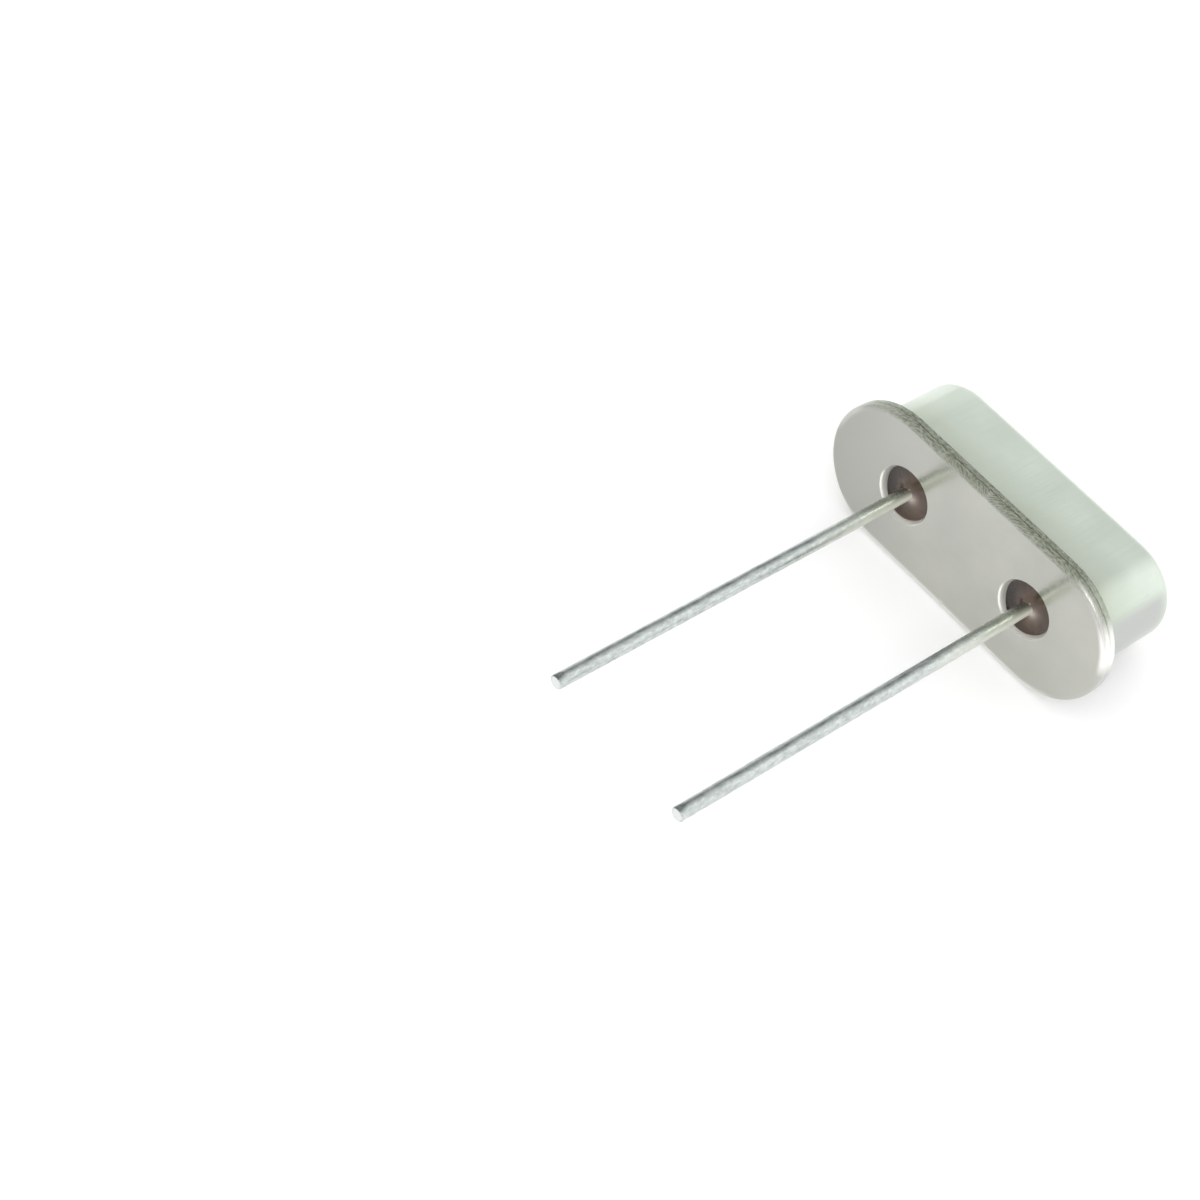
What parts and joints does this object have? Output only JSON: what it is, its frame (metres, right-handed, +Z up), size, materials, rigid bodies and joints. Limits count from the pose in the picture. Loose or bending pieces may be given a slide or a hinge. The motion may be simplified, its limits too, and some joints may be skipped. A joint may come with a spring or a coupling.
{
  "type": "quartz crystal",
  "caption": "Low quartz crystal in an obround metal can welded to a flanged base, with round wire leads that leave through brown glass seals.",
  "frame": {"origin": "on the ground under the middle of the crystal as it lies on one long side", "axes": "+X along the row of leads, -Y the way the leads point, +Z up"},
  "size_m": [0.0106, 0.0162, 0.0058],
  "materials": {
    "can_metal": "satin nickel plate on drawn sheet",
    "base_metal": "satin nickel plate on stamped plate",
    "seal_glass": "opaque brown fused glass",
    "lead_wire": "tinned round wire",
    "clip_strip": "rolled nickel silver strip",
    "quartz": "lapped clear quartz",
    "silver_film": "evaporated silver",
    "silver_cement": "cured silver-filled cement"
  },
  "bodies": {
    "root": {"can": "can_metal", "base": "base_metal", "glass_seal_left": "seal_glass", "glass_seal_right": "seal_glass", "lead_left": "lead_wire", "lead_right": "lead_wire", "clip_left": "clip_strip", "clip_right": "clip_strip", "quartz_blank": "quartz", "electrode_base_side": "silver_film", "electrode_can_side": "silver_film", "cement_left": "silver_cement", "cement_right": "silver_cement"}
  },
  "joints": []
}
